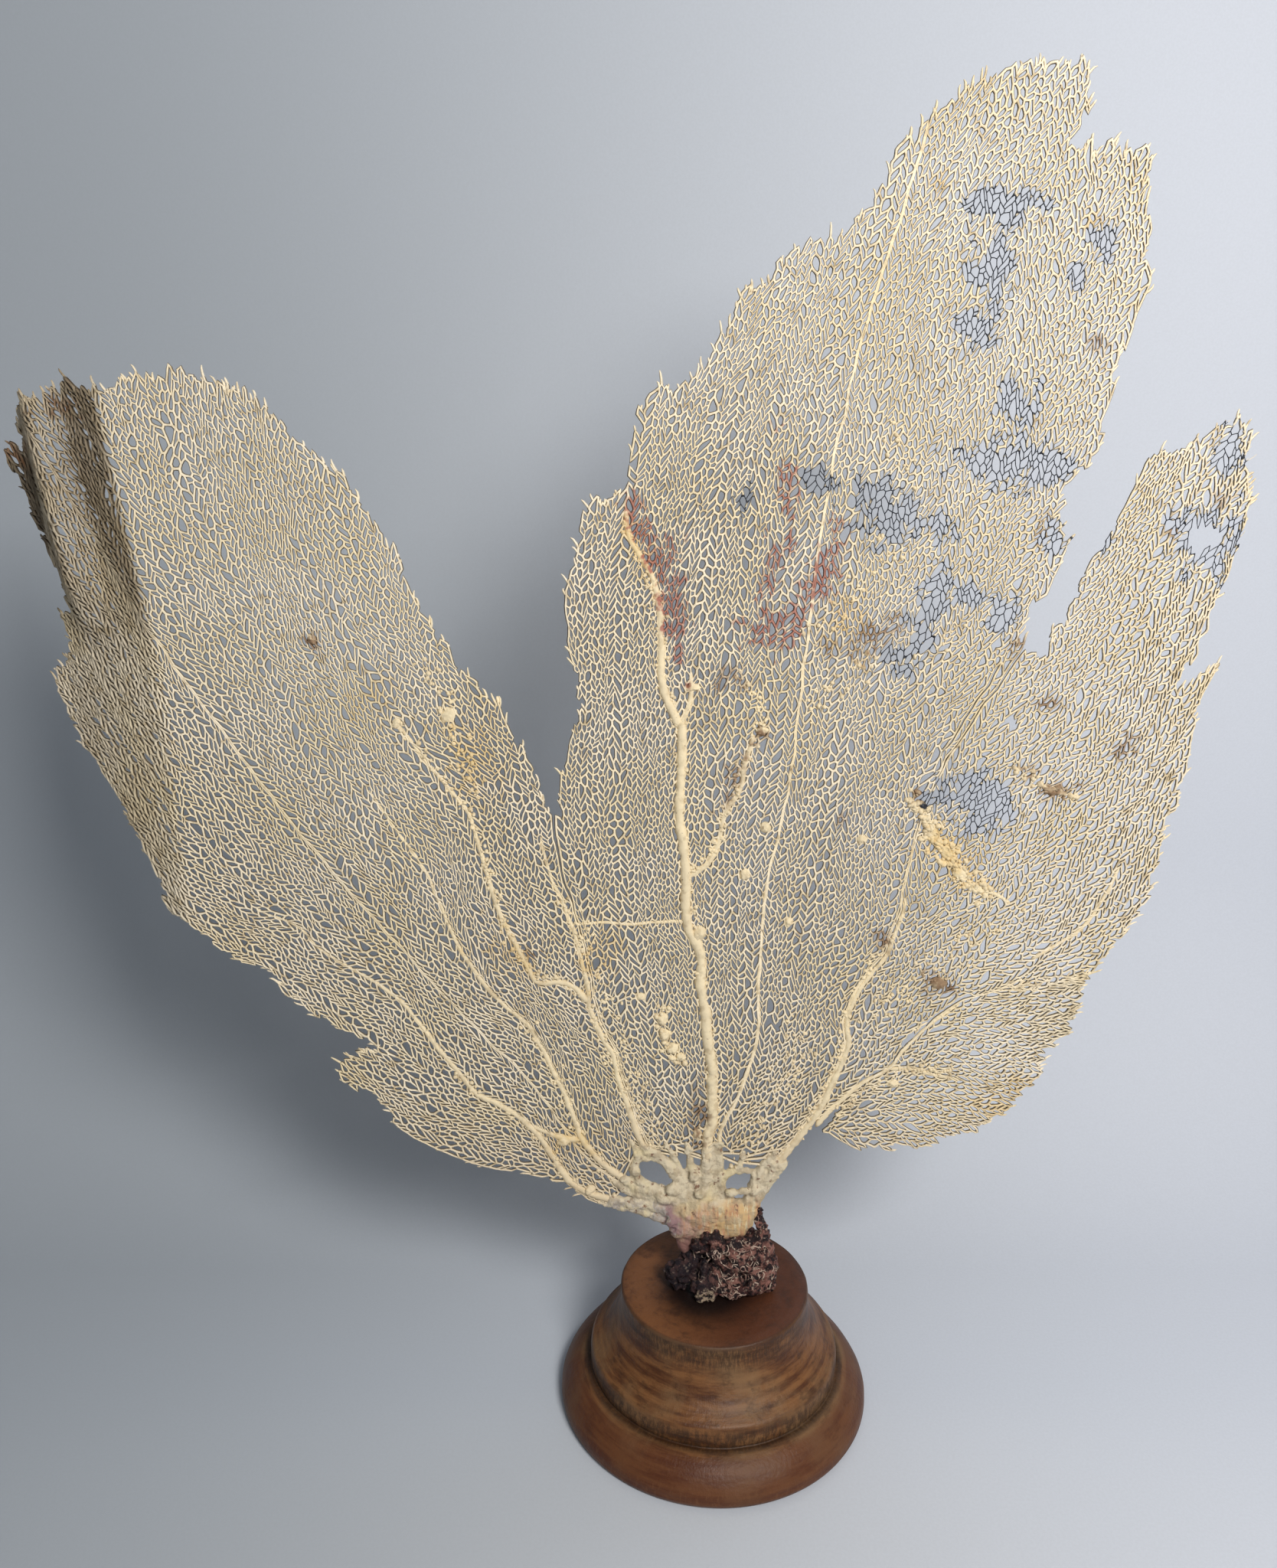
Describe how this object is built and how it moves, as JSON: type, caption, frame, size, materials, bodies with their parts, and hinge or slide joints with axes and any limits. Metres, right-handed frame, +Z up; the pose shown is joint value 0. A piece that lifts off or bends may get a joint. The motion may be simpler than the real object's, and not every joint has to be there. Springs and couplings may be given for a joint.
{
  "type": "sea fan on a turned wooden base",
  "caption": "Dried sea fan with branching net blades, standing on its holdfast on a round turned wooden base.",
  "frame": {"origin": "centre of the wooden base's flat underside", "axes": "+Z up, +X along the fan's width to the right as seen from the front, +Y through the fan to its back"},
  "size_m": [0.4478, 0.13, 0.5095],
  "materials": {
    "wood": "worn satin varnish over mottled brown wood",
    "crust": "rough dark red-brown crust with pale worm tubes",
    "trunk": "matt peach and mauve horny stem",
    "net": "matt chalky cream net with bare dark patches"
  },
  "bodies": {
    "root": {"base": "wood", "holdfast": "crust", "trunk": "trunk", "left_blade": "net", "centre_blade": "net", "right_blade": "net", "lower_right_blade": "net"}
  },
  "joints": []
}
